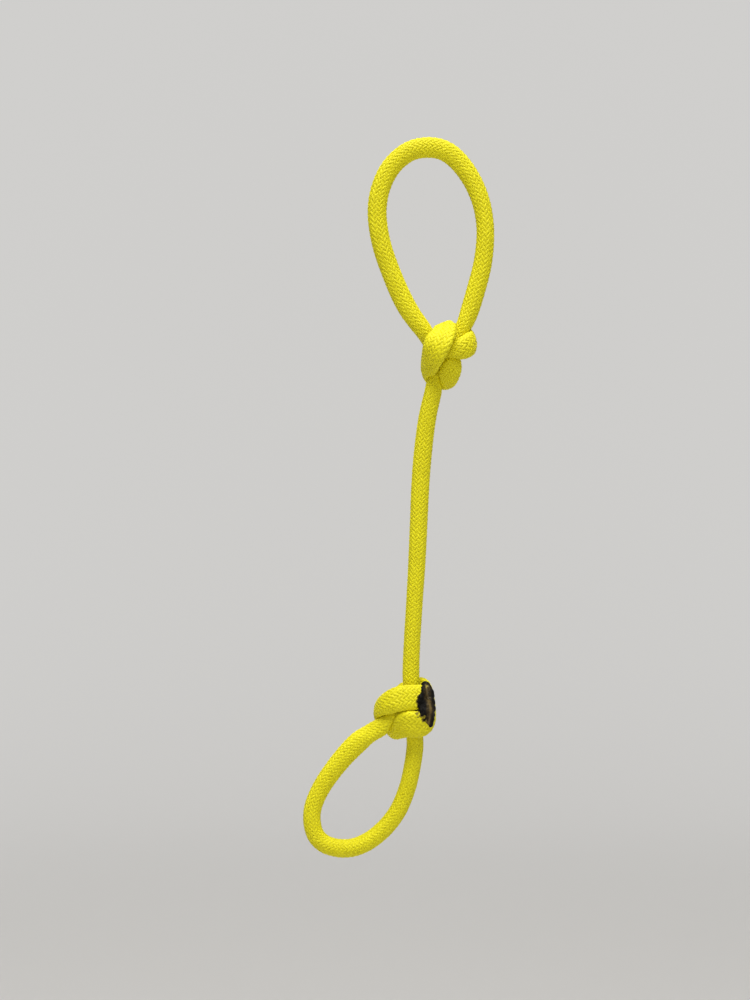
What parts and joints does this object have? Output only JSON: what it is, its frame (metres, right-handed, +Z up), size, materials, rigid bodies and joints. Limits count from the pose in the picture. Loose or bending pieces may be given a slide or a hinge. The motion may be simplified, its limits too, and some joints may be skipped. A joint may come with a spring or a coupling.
{
  "type": "knotted cord with two eyes",
  "caption": "Short length of braided cord with an eye at each end, each closed by an overhand knot round the standing part; it hangs by its upper eye.",
  "frame": {"origin": "inside of the upper eye's crown, where the cord rests on what it hangs from", "axes": "+Z up along the hanging cord, +X to the right as seen from the front, +Y to the back"},
  "size_m": [0.0437, 0.0133, 0.1658],
  "materials": {
    "braided_sheath": "braided nylon, fluorescent yellow",
    "core_yarn": "loose white nylon yarn",
    "melted_cord": "melted and charred nylon"
  },
  "bodies": {
    "upper_eye": {"upper_eye_sheath": "braided_sheath", "upper_eye_core": "core_yarn", "upper_neck_sheath": "braided_sheath", "upper_neck_core": "core_yarn"},
    "upper_knot": {"upper_knot_turn_sheath": "braided_sheath", "upper_knot_turn_core": "core_yarn", "upper_knot_standing_sheath": "braided_sheath", "upper_knot_standing_core": "core_yarn", "shank_top_sheath": "braided_sheath", "shank_top_core": "core_yarn", "upper_end_seal": "melted_cord"},
    "shank_upper": {"shank_upper_sheath": "braided_sheath", "shank_upper_core": "core_yarn", "shank_middle_sheath": "braided_sheath", "shank_middle_core": "core_yarn"},
    "shank_lower": {"shank_lower_sheath": "braided_sheath", "shank_lower_core": "core_yarn", "shank_foot_sheath": "braided_sheath", "shank_foot_core": "core_yarn"},
    "lower_knot": {"lower_knot_standing_sheath": "braided_sheath", "lower_knot_standing_core": "core_yarn", "lower_knot_turn_sheath": "braided_sheath", "lower_knot_turn_core": "core_yarn", "lower_neck_sheath": "braided_sheath", "lower_neck_core": "core_yarn", "lower_end_seal": "melted_cord", "lower_melted_smear": "melted_cord"},
    "lower_eye": {"lower_eye_sheath": "braided_sheath", "lower_eye_core": "core_yarn"}
  },
  "joints": [
    {"name": "upper_neck_bend", "type": "hinge", "parent": "upper_eye", "child": "upper_knot", "pos_m": [0.00025, 0, -0.03676], "axis": [0.9945, 0, -0.1047], "range_deg": [-60, 60], "stiffness_Nm_per_rad": 0.01, "deforming": ["upper_neck_sheath", "upper_neck_core"]},
    {"name": "shank_top_bend", "type": "hinge", "parent": "upper_knot", "child": "shank_upper", "pos_m": [-0.00152, 0, -0.0571], "axis": [0, 1, 0], "range_deg": [-45, 45], "stiffness_Nm_per_rad": 0.006, "deforming": ["shank_top_sheath", "shank_top_core"]},
    {"name": "shank_middle_bend", "type": "hinge", "parent": "shank_upper", "child": "shank_lower", "pos_m": [-0.00464, 0, -0.08894], "axis": [1, 0, 0], "range_deg": [-60, 60], "stiffness_Nm_per_rad": 0.006, "deforming": ["shank_middle_sheath", "shank_middle_core"]},
    {"name": "shank_foot_bend", "type": "hinge", "parent": "shank_lower", "child": "lower_knot", "pos_m": [-0.00579, 0, -0.11656], "axis": [0, 1, 0], "range_deg": [-45, 45], "stiffness_Nm_per_rad": 0.006, "deforming": ["shank_foot_sheath", "shank_foot_core"]},
    {"name": "lower_neck_bend", "type": "hinge", "parent": "lower_knot", "child": "lower_eye", "pos_m": [-0.01138, 0, -0.13643], "axis": [0.9604, 0, -0.2785], "range_deg": [-60, 60], "stiffness_Nm_per_rad": 0.006, "deforming": ["lower_neck_sheath", "lower_neck_core"]}
  ]
}
